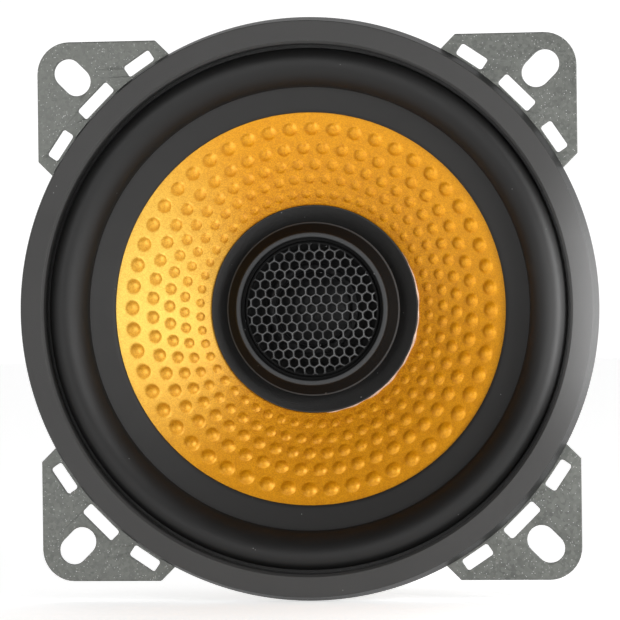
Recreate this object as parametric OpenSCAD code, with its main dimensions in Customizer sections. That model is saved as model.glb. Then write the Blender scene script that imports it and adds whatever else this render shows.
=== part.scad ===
// Coaxial car speaker of the 10 cm class, in millimetres.
// Each module is drawn with x to the right, y up and z towards the listener. front_to_minus_y then
// turns it so that the speaker faces -Y. The origin is the centre of the mounting plane, which is
// the rear face of the basket's flange.

/* [Mounting flange] */
// Spacing of the mounting slots, across and up
slot_spacing = 82; // [81:0.5:83]
// Width of a mounting slot
slot_w = 5.0; // [4.6:0.1:5.4]
// Length of a mounting slot, along the ear's diagonal
slot_l = 7.1; // [6.6:0.1:7.6]
// Distance from the centre to the straight sides of the ears
ear_reach = 47.2; // [46.8:0.1:47.8]
// Radius of an ear's outer corner
ear_corner_r = 5.6; // [4.5:0.1:6.5]
// Distance from a centre line to the start of an ear's slanted edge
ear_start = 26.3; // [25.5:0.1:27.5]
// Thickness of the basket's steel sheet
sheet_t = 1.0; // [0.8:0.1:1.1]

/* [Front ring] */
// Outer radius of the front ring where it meets the flange
rim_r = 50.7; // [50.5:0.1:50.9]
// Outer radius of the front ring's flat face
rim_face_r = 49.8; // [49.4:0.1:50]
// Inner radius of the front ring
rim_bore_r = 45.9; // [45.7:0.1:46]
// Height of the front ring's face above the mounting plane
rim_face_z = 4.7; // [4.5:0.1:5]

/* [Cone and roll] */
// Outer radius of the cone
cone_r = 38.4; // [38.2:0.1:38.5]
// Height of the cone's front surface at its outer edge
cone_edge_z = -1.15; // [-1.2:0.05:-1.1]
// Slope of the cone at its outer edge
cone_slope = 0.364; // [0.36:0.002:0.368]
// Growth of that slope for each millimetre inward
cone_curve = 0.00572; // [0.0056:0.0001:0.0058]
// Thickness of the cone
cone_t = 0.55; // [0.45:0.05:0.6]
// Number of embossed bumps in each of the cone's five rings
bumps_per_ring = 52; // [48:1:52]
// Height of a bump above the cone
bump_h = 0.4; // [0.3:0.05:0.45]
// Height of the roll's crest
roll_crest_z = 4.0; // [3.6:0.1:4.2]

/* [Motor] */
// Radius of the pole
pole_r = 11.85; // [11.7:0.05:11.9]
// Radius of the top plate's bore
gap_r = 13.45; // [13.4:0.05:13.6]
// Radius of the steel plates
plate_r = 29; // [28:0.5:30]
// Radius of the ferrite ring
magnet_r = 32; // [31.5:0.5:32]
// Thickness of the ferrite ring
magnet_h = 10; // [9.8:0.1:10]

/* [Tweeter] */
// Radius of the tweeter housing's shoulder
pod_r = 15.3; // [15.1:0.1:15.4]
// Radius of the tweeter grille
grille_r = 11.8; // [11.6:0.1:11.9]
// Height of the tweeter grille's crown above its edge
grille_rise = 1.0; // [0.6:0.1:1.1]
// Distance between the grille's holes
mesh_pitch = 1.79; // [1.7:0.01:1.9]
// Width of a grille hole across its flats
mesh_hole = 1.38; // [1.2:0.02:1.45]

/* [Hidden] */
$fn = 96;

// Basket
flange_r = 50.4;
throat_r = 44.3;
flange_bore_r = throat_r + 1.2;
ledge_r = 30.6;
ledge_inner_r = 25.6;
ledge_z = -14;
floor_r = 24.6;
floor_bore_r = 14;
floor_z = -21;
motor_z = floor_z - 1;
rivet_circle_r = 19.5;
rivet_r = 1.45;
rivet_hole_r = 1.5;

// Motor
top_plate_t = 4;
back_plate_t = 4;
magnet_z = motor_z - top_plate_t;
yoke_z = magnet_z - magnet_h;
back_z = yoke_z - back_plate_t;
post_r = 3.0;
post_bore_r = 2.2;
post_hole_r = 3.2;
post_end_z = back_z - 5;

// Coil on its former
former_in_r = 12.2;
former_out_r = 12.45;
former_top_z = -12;
former_end_z = -28.5;

// Tweeter
cup_r = 8;
cup_z = -13;
pod_bore_r = 9;
pod_lip_r = 12.5;
grille_edge_z = -5.6;

// Rings of bumps: radius, width of a bump, and the ring's turn as a share of the spacing
bump_rings = [[31.6, 2.5, 0.86], [28.2, 2.25, 0.34], [25.4, 2.05, 0.75], [22.9, 1.8, 0.12],
    [20.3, 1.55, 0.47]];
bump_foot = 0.25;
bump_sink = 0.03;

// Terminals, on the -x side
board_z = ledge_z - 1;
board_t = 1.6;
blade_t = 0.8;
blade_z = board_z - board_t - blade_t;
terminal_y = 8;
board_rivet = [-35, 2.2];
terminal_rivet_x = -36;
tail_x = -38;
capacitor_at = [-35, 0, -21];
capacitor_r = 3;
capacitor_half_l = 6;

function unit(v) = v / norm(v);

// Height of the cone's front surface at radius r
function cone_z(r) = cone_edge_z - cone_slope * (cone_r - r) - cone_curve / 2 * pow(cone_r - r, 2);

// One rounded corner of an outline, from a to c around b
function corner(a, b, c, r, steps) =
    let (
        u = unit(a - b),
        v = unit(c - b),
        half = acos(u * v) / 2,
        centre = b + unit(u + v) * r / sin(half),
        first = b + u * r / tan(half) - centre,
        last = b + v * r / tan(half) - centre,
        turn = 180 - 2 * half
    )
    [for (i = [0 : steps]) centre + r * unit(
        first * sin(turn * (1 - i / steps)) + last * sin(turn * i / steps))];

// A whole outline with every corner rounded
function rounded(points, r, steps = 5) =
    let (n = len(points))
    [for (i = [0 : n - 1]) each corner(
        points[(i + n - 1) % n], points[i], points[(i + 1) % n], r, steps)];

// A smooth curve through hand-placed points
function curve_point(a, b, c, d, t) =
    0.5 * (2 * b + (c - a) * t + (2 * a - 5 * b + 4 * c - d) * t * t
        + (3 * b - a - 3 * c + d) * t * t * t);
function curve(points, steps) =
    let (last = len(points) - 1)
    [for (i = [0 : last - 1]) for (k = [0 : i == last - 1 ? steps : steps - 1])
        curve_point(points[max(i - 1, 0)], points[i], points[i + 1],
            points[min(i + 2, last)], k / steps)];

// Direction of a path at its point i
function heading(path, i) =
    unit(path[min(i + 1, len(path) - 1)] - path[max(i - 1, 0)]);
// A side vector carried on to a new heading
function carried(side, t) = unit(side - t * (side * t));

// A round wire along a path; aside is any vector across its first stretch
module wire(path, r, aside, sides = 8) {
    n = len(path);
    us = [for (i = 0, u = carried(aside, heading(path, 0)); i < n;
        i = i + 1, u = carried(u, heading(path, min(i, n - 1)))) u];
    points = [for (i = [0 : n - 1]) for (k = [0 : sides - 1])
        let (u = us[i], v = cross(us[i], heading(path, i)), a = 360 * k / sides)
        path[i] + r * (cos(a) * u + sin(a) * v)];
    walls = [for (i = [0 : n - 2]) for (k = [0 : sides - 1])
        let (next = (k + 1) % sides)
        [i * sides + k, i * sides + next, (i + 1) * sides + next, (i + 1) * sides + k]];
    start = [for (k = [sides - 1 : -1 : 0]) k];
    end = [for (k = [0 : sides - 1]) (n - 1) * sides + k];
    polyhedron(points, concat(walls, [start, end]));
}

module front_to_minus_y() {
    rotate([90, 0, 0]) children();
}

module tube(r_out, r_in, z_low, z_high) {
    translate([0, 0, z_low]) difference() {
        cylinder(h = z_high - z_low, r = r_out);
        translate([0, 0, -1]) cylinder(h = z_high - z_low + 2, r = r_in);
    }
}

module disc(r, z_low, z_high) {
    translate([0, 0, z_low]) cylinder(h = z_high - z_low, r = r);
}

module turned(profile) {
    rotate_extrude() polygon(profile);
}

module at_quarters() {
    for (a = [0 : 90 : 270]) rotate(a) children();
}

// ---- basket: one stamping with its flange, ears, windows and terminal tab ----

module rounded_square(half, r) {
    square([2 * half, 2 * (half - r)], center = true);
    square([2 * (half - r), 2 * half], center = true);
    at_quarters() translate([half - r, half - r]) circle(r = r);
}

module ear_outline() {
    slant = 5;
    intersection() {
        rounded_square(ear_reach, ear_corner_r);
        polygon([
            [ear_start - slant, ear_reach - slant], [ear_start, ear_reach],
            [ear_reach, ear_reach], [ear_reach, ear_start],
            [ear_reach - slant, ear_start - slant], [0, 0]]);
    }
}

module long_hole(l, w) {
    square([l - w, w], center = true);
    for (side = [-1, 1]) translate([side * (l - w) / 2, 0]) circle(r = w / 2);
}

module tear_hole(l, w) {
    polygon(rounded([[-l, -w] / 2, [l, -w] / 2, [l, w] / 2, [-l, w] / 2], 0.5, 3));
}

// Three short holes across each ear, beside the front ring, and the mounting slot
module ear_holes() {
    hole_circle_r = 52.15;
    spread = 11;
    translate([slot_spacing / 2, slot_spacing / 2]) rotate(45) long_hole(slot_l, slot_w);
    rotate(45) translate([hole_circle_r, 0]) rotate(90) tear_hole(7.2, 2.3);
    for (side = [-1, 1]) rotate(45 + side * spread) translate([hole_circle_r, 0])
        rotate(90) tear_hole(5.4, 2.2);
}

module flange() {
    linear_extrude(sheet_t) difference() {
        union() {
            circle(r = flange_r);
            at_quarters() ear_outline();
        }
        circle(r = flange_bore_r);
        at_quarters() ear_holes();
    }
}

// A wide window through the sloping wall, narrower towards the motor
module basket_window() {
    outline = rounded([[-25, -1.8], [-15, -12.2], [15, -12.2], [25, -1.8]], 3);
    translate([ledge_r - 4, 0, 0]) rotate([90, 0, 90]) linear_extrude(22) polygon(outline);
}

module basket_shell() {
    difference() {
        turned([
            [flange_bore_r + 0.5, 0], [flange_bore_r + 0.5, sheet_t], [throat_r, sheet_t],
            [ledge_r, -12.8], [ledge_r, ledge_z], [ledge_inner_r, ledge_z],
            [floor_r, floor_z], [floor_bore_r, floor_z], [floor_bore_r, motor_z],
            [floor_r + 0.9, motor_z], [ledge_inner_r + 0.9, ledge_z - 1],
            [ledge_r + 1, ledge_z - 1], [ledge_r + 1, -13.2], [throat_r + 0.6, 0]]);
        at_quarters() basket_window();
    }
}

module basket() {
    color("dimgray") front_to_minus_y() difference() {
        union() {
            flange();
            basket_shell();
            translate([-37.5, -5, board_z]) cube([7.5, 10, 1]);
        }
        at_quarters() translate([rivet_circle_r, 0, motor_z - 1])
            cylinder(h = 4, r = rivet_hole_r, $fn = 32);
        for (side = [-1, 1]) translate([board_rivet.x, side * board_rivet.y, board_z - 1])
            cylinder(h = 3, r = 1.25, $fn = 32);
    }
}

// ---- front: the ring that clamps the roll's outer edge, and the roll ----

module trim_ring() {
    land_z = sheet_t + 0.55;
    land_r = 49.7;
    chamfer = 0.5;
    color("#3c3c3a") front_to_minus_y() turned([
        [rim_bore_r, land_z], [land_r, land_z], [land_r, sheet_t + 0.02],
        [rim_r, sheet_t + 0.02], [rim_face_r, rim_face_z], [rim_bore_r + chamfer, rim_face_z],
        [rim_bore_r, rim_face_z - chamfer]]);
}

// Half roll: a land on the flange, a half ellipse, and a sloping land glued to the cone
module surround() {
    roll_mid_r = 41.95;
    outer_half_w = 3.35;
    inner_half_w = 2.85;
    rubber_t = 0.5;
    rise = roll_crest_z - rubber_t;
    steps = 24;
    top = [for (i = [0 : steps]) let (a = 180 * i / steps)
        [roll_mid_r - outer_half_w * cos(a), rubber_t - cos(a) + rise * sin(a)]];
    underside = [for (i = [steps : -1 : 0]) let (a = 180 * i / steps)
        [roll_mid_r - inner_half_w * cos(a), -cos(a) + rise * sin(a) + 0.02]];
    color("#2b2b2b") front_to_minus_y() turned(concat(
        [[34.3, -2.58], [34.3, -2.1]], top, [[49.6, 1.5], [49.6, 1.02]], underside,
        [[cone_r, -1.05]]));
}

// Corrugated cloth disc between the ledge and the former
module spider() {
    cloth_t = 0.4;
    wave_from_r = 14;
    wave_to_r = 25;
    waves = 5;
    steps = 60;
    function wave_z(r) = ledge_z + 0.35
        + 0.75 * sin(360 * waves * (r - wave_from_r) / (wave_to_r - wave_from_r));
    rs = [for (i = [0 : steps]) wave_from_r + (wave_to_r - wave_from_r) * i / steps];
    face = [for (r = rs) [r, wave_z(r) + cloth_t / 2]];
    back = [for (i = [steps : -1 : 0]) [rs[i], wave_z(rs[i]) - cloth_t / 2]];
    color("#b98a3c") front_to_minus_y() turned(concat(
        [[former_out_r + 0.03, ledge_z + 0.15], [former_out_r + 0.03, ledge_z + 0.55]], face,
        [[25.6, ledge_z + 0.42], [ledge_r - 0.2, ledge_z + 0.42],
            [ledge_r - 0.2, ledge_z + 0.02], [25.6, ledge_z + 0.02]], back));
}

// ---- motor ----

module top_plate() {
    color("silver") front_to_minus_y() difference() {
        turned([
            [gap_r, motor_z], [gap_r, magnet_z], [plate_r - 0.4, magnet_z],
            [plate_r, magnet_z + 0.4], [plate_r, motor_z - 0.4], [plate_r - 0.4, motor_z]]);
        at_quarters() translate([rivet_circle_r, 0, motor_z - 3.2])
            cylinder(h = 4, r = rivet_hole_r, $fn = 32);
    }
}

module magnet_ring() {
    chamfer = 0.7;
    bore_r = 16;
    color("#2a2a2c") front_to_minus_y() turned([
        [bore_r, magnet_z], [bore_r, yoke_z], [magnet_r - chamfer, yoke_z],
        [magnet_r, yoke_z + chamfer], [magnet_r, magnet_z - chamfer],
        [magnet_r - chamfer, magnet_z]]);
}

module pole_yoke() {
    color("silver") front_to_minus_y() turned([
        [post_hole_r, motor_z], [pole_r - 0.5, motor_z], [pole_r, motor_z - 0.5],
        [pole_r, yoke_z], [plate_r - 0.4, yoke_z], [plate_r, yoke_z - 0.4],
        [plate_r, back_z + 0.8], [plate_r - 0.8, back_z], [post_hole_r, back_z]]);
}

module plate_rivets() {
    head_r = 2.6;
    color("silver") front_to_minus_y() at_quarters() translate([rivet_circle_r, 0, 0]) {
        disc(rivet_r, motor_z - 3, floor_z, $fn = 32);
        rotate_extrude($fn = 48) polygon([
            [0, floor_z], [head_r, floor_z], [head_r, floor_z + 0.4],
            [head_r * 0.8, floor_z + 0.85], [head_r * 0.4, floor_z + 1.05],
            [0, floor_z + 1.1]]);
    }
}

// ---- hollow post that carries the tweeter, clamped through the pole ----

module tweeter_post() {
    collar_r = 5.5;
    color("silver") front_to_minus_y() difference() {
        turned([
            [post_bore_r, post_end_z], [post_r - 0.5, post_end_z],
            [post_r, post_end_z + 0.5], [post_r, motor_z], [collar_r, motor_z],
            [collar_r, motor_z + 0.8], [post_r, motor_z + 0.8], [post_r, cup_z - 1],
            [collar_r, cup_z - 1], [collar_r, cup_z], [post_bore_r, cup_z]]);
        translate([-0.7, -8, cup_z - 0.98]) cube([1.4, 16, 2]);
    }
}

module post_washer() {
    color("gainsboro") front_to_minus_y() tube(5.6, post_r + 0.12, back_z - 0.8, back_z, $fn = 64);
}

module post_nut() {
    nut_z = back_z - 3.6;
    color("gainsboro") front_to_minus_y() difference() {
        intersection() {
            translate([0, 0, nut_z]) cylinder(h = 2.8, r = 5.1, $fn = 6);
            turned([
                [0, nut_z], [4.3, nut_z], [5.2, nut_z + 0.5], [5.2, back_z - 0.8],
                [0, back_z - 0.8]]);
        }
        translate([0, 0, nut_z - 1]) cylinder(h = 5, r = post_r + 0.05, $fn = 64);
    }
}

// ---- tweeter ----

module tweeter_housing() {
    color("#26282a") front_to_minus_y() turned([
        [post_hole_r, cup_z - 1.4], [pod_bore_r + 2, cup_z - 1.4], [pod_bore_r + 2, -8.2],
        [pod_r - 0.2, -7.95], [pod_r, -7.8], [pod_r, -7.35], [pod_r - 0.25, -7.15],
        [13.7, -5.7], [13.35, -5.25], [13.05, -5.0], [12.75, -5.0], [pod_lip_r, -5.2],
        [pod_lip_r, -6.2], [12, -6.2], [12, -7.4], [pod_bore_r, -7.4],
        [pod_bore_r, cup_z - 1], [post_hole_r, cup_z - 1]]);
}

module tweeter_face_plate() {
    color("#1c1c1e") front_to_minus_y() turned([
        [8.3, -7.4], [11.9, -7.4], [11.9, -6.25], [11.2, -6.25], [9.4, -6.9], [8.3, -6.9]]);
}

module mesh_holes() {
    rows = 7;
    hole_r = mesh_hole / sqrt(3);
    for (row = [-rows : rows]) for (col = [-rows - 1 : rows + 1]) {
        x = mesh_pitch * (col + (abs(row) % 2) / 2);
        y = mesh_pitch * sqrt(3) / 2 * row;
        if (norm([x, y]) < grille_r - 1.1) translate([x, y]) rotate(30)
            circle(r = hole_r, $fn = 6);
    }
}

// Perforated shell, part of a large ball, with a solid rim
module tweeter_grille() {
    grille_t = 0.45;
    ball_r = (grille_r * grille_r + grille_rise * grille_rise) / (2 * grille_rise);
    ball_z = grille_edge_z + grille_rise - ball_r;
    turned_by = 2;
    color("#55585a") front_to_minus_y() {
        intersection() {
            translate([0, 0, grille_edge_z - 1]) linear_extrude(3) rotate(turned_by) difference() {
                circle(r = grille_r);
                mesh_holes();
            }
            translate([0, 0, ball_z]) difference() {
                sphere(r = ball_r);
                sphere(r = ball_r - grille_t);
            }
        }
    }
}

module tweeter_suspension() {
    steps = 10;
    mid_r = 7.35;
    top = [for (i = [0 : steps]) let (a = 180 * i / steps)
        [mid_r - 0.75 * cos(a), -7.5 + 0.6 * sin(a)]];
    underside = [for (i = [steps : -1 : 0]) let (a = 180 * i / steps)
        [mid_r - 0.6 * cos(a), -7.7 + 0.6 * sin(a)]];
    color("#a9a18a") front_to_minus_y() turned(concat(
        [[6.55, -7.7], [6.55, -7.5]], top, [[8.9, -7.5], [8.9, -7.7]], underside));
}

module tweeter_dome() {
    base_r = 6.5;
    height = 1.75;
    skin_t = 0.18;
    steps = 12;
    ball_r = (base_r * base_r + height * height) / (2 * height);
    half_angle = asin(base_r / ball_r);
    function arc(r, i) = [r * sin(half_angle * i / steps),
        -7.5 + height - ball_r + r * cos(half_angle * i / steps)];
    color("#c8b98e") front_to_minus_y() turned(concat(
        [for (i = [0 : steps]) arc(ball_r, i)],
        [for (i = [steps : -1 : 0]) arc(ball_r - skin_t, i)]));
}

module tweeter_coil() {
    color("#b5652b") front_to_minus_y() {
        tube(6.1, 5.95, -9.7, -7.72);
        tube(6.35, 6.1, -9.5, -8.5);
    }
}

module tweeter_cup() {
    wall_in_r = 6.75;
    rim_z = -8.6;
    color("silver") front_to_minus_y() turned([
        [0, cup_z], [cup_r - 0.4, cup_z], [cup_r, cup_z + 0.4], [cup_r, rim_z],
        [wall_in_r, rim_z], [wall_in_r, cup_z + 1], [0, cup_z + 1]]);
}

module tweeter_magnet() {
    color("#8f9193") front_to_minus_y() disc(5.2, cup_z + 1, -9.8);
}

module tweeter_pole_washer() {
    color("silver") front_to_minus_y() disc(5.6, -9.8, -8.6);
}

// ---- tweeter leads: down inside the post, out at its end, round the magnet to the board ----

// The stretch inside the tweeter and the post, on the side given
function lead_inside(side) = [
    [0, side * 8.5, -8.4], [0, side * 8.5, -11.6], [0, side * 8.35, -12.9],
    [0, side * 7.4, -13.47], [0, side * 3.4, -13.47], [0, side * 1.5, -13.9],
    [0, side * 1.0, -16], [0, side, -24], [0, side, -34], [0, side, -43.5]];

module tweeter_lead(path) {
    wire(curve(path, 3), 0.42, [1, 0, 0]);
}

module tweeter_lead_positive() {
    outside = [
        [-0.7, 0.95, -46.3], [-3.2, 0.5, -47.6], [-8, -1.2, -46.2], [-15, -3.3, -43.2],
        [-22, -5.3, -41.2], [-28.3, -6.9, -40.6], [-32.4, -8.0, -38.4], [-33, -8.5, -34],
        [-33.2, -8.7, -28], [-34, -8.7, -24], [-35, -7.9, -21.6], [-35, -6.95, -21]];
    color("#a3291f") front_to_minus_y() tweeter_lead(concat(lead_inside(1), outside));
}

module tweeter_lead_negative() {
    outside = [
        [-0.7, -1.2, -46.3], [-3.2, -1.9, -47.6], [-8, -3.2, -46.2], [-15, -5.2, -43.2],
        [-22, -7, -41.2], [-28, -8.7, -40.6], [-31.7, -9.8, -38.4], [-32.4, -10.4, -34],
        [-32.6, -10.6, -28], [-34, -10.3, -22.5], [-36.4, -9.3, -19.2], [-38, -8.4, -18.1],
        [-39.6, -8, -17.87]];
    color("#1d1d1f") front_to_minus_y() tweeter_lead(concat(lead_inside(-1), outside));
}

// ---- terminals, on the tab at the -x side ----

module terminal_board() {
    board_x = [-41, -32];
    half_w = 13;
    corners = [[board_x[0], -half_w], [board_x[1], -half_w], [board_x[1], half_w],
        [board_x[0], half_w]];
    color("#8a5a2c") front_to_minus_y() difference() {
        translate([0, 0, board_z - board_t]) linear_extrude(board_t) polygon(rounded(corners, 1.2));
        for (side = [-1, 1]) {
            translate([board_rivet.x, side * board_rivet.y, board_z - 3])
                cylinder(h = 5, r = 1.25, $fn = 32);
            translate([terminal_rivet_x, side * terminal_y, board_z - 3])
                cylinder(h = 5, r = 1.05, $fn = 32);
            translate([tail_x - 0.55, side * terminal_y - 1.1, board_z - 3]) cube([1.1, 2.2, 5]);
        }
    }
}

// A flat blade with a hole near its tip, an eye for its rivet, and a tail bent through the board
module spade_terminal(side, blade_w) {
    tip_x = -46.5;
    start_x = -33.6;
    eye_w = 4;
    difference() {
        union() {
            translate([0, side * terminal_y, blade_z]) linear_extrude(blade_t) {
                polygon([
                    [tip_x, -blade_w / 2 + 0.8], [tip_x + 0.8, -blade_w / 2],
                    [-39.2, -blade_w / 2], [-38.4, -eye_w / 2], [start_x, -eye_w / 2],
                    [start_x, eye_w / 2], [-38.4, eye_w / 2], [-39.2, blade_w / 2],
                    [tip_x + 0.8, blade_w / 2], [tip_x, blade_w / 2 - 0.8]]);
            }
            translate([tail_x - 0.4, side * terminal_y - 1, blade_z]) cube([0.8, 2, 4]);
        }
        translate([terminal_rivet_x, side * terminal_y, blade_z - 1])
            cylinder(h = 3, r = 1.05, $fn = 32);
        translate([tip_x + 2.6, side * terminal_y, blade_z - 1]) cylinder(h = 3, r = 0.65, $fn = 32);
    }
}

module terminal_positive() {
    color("#d8d4c8") front_to_minus_y() spade_terminal(1, 5.2);
}

module terminal_negative() {
    color("#d8d4c8") front_to_minus_y() spade_terminal(-1, 2.8);
}

// A hollow rivet between two levels, with a flat head at each end
module eyelet(x, y, shank_r, head_r, z_low, z_high) {
    translate([x, y, 0]) rotate_extrude($fn = 48) polygon([
        [shank_r - 0.45, z_low - 0.5], [head_r, z_low - 0.4], [head_r, z_low],
        [shank_r, z_low], [shank_r, z_high], [head_r, z_high], [head_r, z_high + 0.4],
        [shank_r - 0.45, z_high + 0.5]]);
}

module terminal_rivets() {
    color("#c9c6bb") front_to_minus_y() for (side = [-1, 1]) {
        eyelet(board_rivet.x, side * board_rivet.y, 1.2, 2.0, board_z - board_t, ledge_z);
        eyelet(terminal_rivet_x, side * terminal_y, 1.0, 1.6, blade_z, board_z);
    }
}

// Braided lead from a terminal's tail through the window to the back of the cone
module tinsel_lead(side) {
    route = [
        [tail_x, side * terminal_y, -13.3], [-37.8, side * 7.9, -11.6], [-36, side * 7.6, -9.9],
        [-33, side * 7.2, -9.4], [-30, side * 6.8, -9.8], [-27.6, side * 6.4, -9.6],
        [-26, side * 6.1, -8.7], [-25.5, side * 6, -7.55]];
    wire(curve(route, 3), 0.45, [0, 1, 0]);
}

module tinsel_lead_positive() {
    color("#c8a24a") front_to_minus_y() tinsel_lead(1);
}

module tinsel_lead_negative() {
    color("#c8a24a") front_to_minus_y() tinsel_lead(-1);
}

// ---- capacitor that feeds the tweeter ----

module lying_across() {
    translate(capacitor_at) rotate([-90, 0, 0]) children();
}

module capacitor() {
    groove_y = -4.2;
    r = capacitor_r;
    half = capacitor_half_l;
    color("#20242c") front_to_minus_y() lying_across() turned([
        [0, -half], [r - 0.4, -half], [r, -half + 0.4], [r, groove_y - 0.5],
        [r - 0.35, groove_y], [r, groove_y + 0.5], [r, half - 0.4], [r - 0.4, half],
        [0, half]]);
}

module capacitor_leads() {
    route = [
        [-35, capacitor_half_l + 0.05, -21], [-35, 7.2, -20.9], [-35.5, 7.9, -19.9],
        [-36.8, 8, -18.8], [-38.3, 8, -18.0], [-39.8, 8, -17.74]];
    color("gainsboro") front_to_minus_y() {
        wire(curve(route, 3), 0.3, [1, 0, 0]);
        wire([[-35, -capacitor_half_l - 0.85, -21], [-35, -capacitor_half_l - 0.4, -21],
            [-35, -capacitor_half_l - 0.05, -21]], 0.3, [1, 0, 0]);
    }
}

// Bead of adhesive between the capacitor and the board
module capacitor_pad() {
    color("#d9d2bf") front_to_minus_y() difference() {
        translate([-39.3, -4.2, -19.2]) cube([7, 8.4, 2.55]);
        lying_across() cylinder(h = 20, r = capacitor_r + 0.03, center = true);
        for (side = [-1, 1]) translate([board_rivet.x, side * board_rivet.y, -18])
            cylinder(h = 3, r = 2.1, $fn = 32);
    }
}

// ---- moving cone ----

// A bump of that width: a low dome on a short foot that is sunk into the cone
module bump(width) {
    ball_r = (width * width / 4 + bump_h * bump_h) / (2 * bump_h);
    intersection() {
        translate([0, 0, bump_h - ball_r]) sphere(r = ball_r, $fn = 24);
        translate([0, 0, -bump_foot]) cylinder(h = 1, r = width / 2, $fn = 24);
    }
}

module cone() {
    neck_r = 12.5;
    steps = 16;
    rs = [for (i = [0 : steps]) cone_r - (cone_r - neck_r - 0.6) * i / steps];
    color("#e39a1c") front_to_minus_y() {
        turned(concat(
            [for (r = rs) [r, cone_z(r)]],
            [[neck_r, cone_z(neck_r)], [neck_r, -13.3], [neck_r + 0.5, -13.3]],
            [for (i = [steps : -1 : 0]) [rs[i], cone_z(rs[i]) - cone_t]]));
        for (ring = bump_rings) for (k = [0 : bumps_per_ring - 1])
            rotate(360 * (k + ring[2]) / bumps_per_ring)
                translate([ring[0], 0, cone_z(ring[0]) - bump_sink])
                    rotate([0, -atan(cone_slope + cone_curve * (cone_r - ring[0])), 0])
                        bump(ring[1]);
    }
}

// Soft ring glued over the inner part of the cone
module cone_collar() {
    outer_r = 18.1;
    inner_r = 14.9;
    top_z = -8.9;
    slope = tan(36);
    color("#232323") front_to_minus_y() turned([
        [outer_r, top_z], [outer_r, cone_z(outer_r) + 0.04], [16.5, cone_z(16.5) + 0.04],
        [inner_r, cone_z(inner_r) + 0.04], [inner_r, top_z - slope * (outer_r - inner_r) + 0.1]]);
}

module coil_former() {
    color("#c9a15a") front_to_minus_y() tube(former_out_r, former_in_r, former_end_z, former_top_z);
}

module voice_coil() {
    color("#b5652b") front_to_minus_y() tube(13.05, former_out_r + 0.01, -28, -20);
}

// Ring that closes the former round the post
module dust_seal() {
    color("#3a3a3a") front_to_minus_y() turned([
        [3.6, -18], [12.1, -18], [12.1, -16.9], [11.8, -16.9], [11.6, -17.5], [3.6, -17.5]]);
}

module lead_eyelets() {
    at_r = norm([25.4, 6]);
    tilt = atan(cone_slope + cone_curve * (cone_r - at_r));
    color("#d8b45a") front_to_minus_y() for (side = [-1, 1])
        rotate(180 - side * atan(6 / 25.4)) translate([at_r, 0, cone_z(at_r) - cone_t - 0.06])
            rotate([0, -tilt, 0]) translate([0, 0, -0.5]) cylinder(h = 0.45, r = 1.3, $fn = 48);
}

basket();
trim_ring();
surround();
spider();
top_plate();
magnet_ring();
pole_yoke();
plate_rivets();
terminal_board();
terminal_positive();
terminal_negative();
terminal_rivets();
tinsel_lead_positive();
tinsel_lead_negative();
tweeter_post();
post_washer();
post_nut();
tweeter_housing();
tweeter_face_plate();
tweeter_grille();
tweeter_suspension();
tweeter_magnet();
tweeter_cup();
tweeter_pole_washer();
tweeter_lead_positive();
tweeter_lead_negative();
capacitor();
capacitor_leads();
capacitor_pad();
cone();
cone_collar();
coil_former();
voice_coil();
dust_seal();
lead_eyelets();
tweeter_dome();
tweeter_coil();
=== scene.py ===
import math

import bmesh
import bpy
import numpy as np
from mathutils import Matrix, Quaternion, Vector


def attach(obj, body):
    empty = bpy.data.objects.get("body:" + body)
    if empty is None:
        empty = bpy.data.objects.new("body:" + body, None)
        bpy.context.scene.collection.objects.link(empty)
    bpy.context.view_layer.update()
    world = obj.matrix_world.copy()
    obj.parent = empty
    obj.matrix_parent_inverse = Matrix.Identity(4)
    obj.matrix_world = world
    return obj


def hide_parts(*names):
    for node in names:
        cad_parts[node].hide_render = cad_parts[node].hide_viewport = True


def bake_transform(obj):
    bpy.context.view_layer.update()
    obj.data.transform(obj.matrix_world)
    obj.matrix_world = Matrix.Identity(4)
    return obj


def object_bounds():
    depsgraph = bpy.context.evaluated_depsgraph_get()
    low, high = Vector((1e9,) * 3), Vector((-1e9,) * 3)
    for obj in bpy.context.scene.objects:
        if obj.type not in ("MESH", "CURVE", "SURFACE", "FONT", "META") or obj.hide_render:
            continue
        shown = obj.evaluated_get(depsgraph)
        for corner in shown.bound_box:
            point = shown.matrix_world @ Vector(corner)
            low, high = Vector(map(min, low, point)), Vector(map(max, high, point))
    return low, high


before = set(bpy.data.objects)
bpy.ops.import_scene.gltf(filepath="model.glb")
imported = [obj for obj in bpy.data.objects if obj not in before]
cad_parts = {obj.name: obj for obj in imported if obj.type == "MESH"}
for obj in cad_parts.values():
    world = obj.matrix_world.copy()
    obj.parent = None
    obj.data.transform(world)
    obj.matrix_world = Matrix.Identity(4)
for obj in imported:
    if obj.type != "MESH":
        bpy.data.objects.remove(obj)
cad_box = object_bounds()


# ---- Camera -------------------------------------------------------------------------------------
# It stands in front of the speaker and a little to its right, level with the axis, with a long lens,
# and it is rolled slightly. Sizes in this file are in millimetres, and MM makes them metres.
MM = 0.001
view_turn = math.radians(7.35)
view_roll = math.radians(-0.7)
view_distance = 640 * MM
view_aim = Vector((0.5, -1.0, -0.2)) * MM
camera_data = bpy.data.cameras.new("camera")
camera_data.sensor_width = 36
camera_data.lens = 214
camera = bpy.data.objects.new("camera", camera_data)
bpy.context.collection.objects.link(camera)
towards_camera = Vector((math.sin(view_turn), -math.cos(view_turn), 0))
camera.location = view_aim + towards_camera * view_distance
camera.rotation_mode = "QUATERNION"
level_view = (-towards_camera).to_track_quat("-Z", "Y")
camera.rotation_quaternion = level_view @ Quaternion((0, 0, 1), view_roll)
bpy.context.scene.camera = camera
bpy.context.scene.view_settings.view_transform = "Standard"


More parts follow.
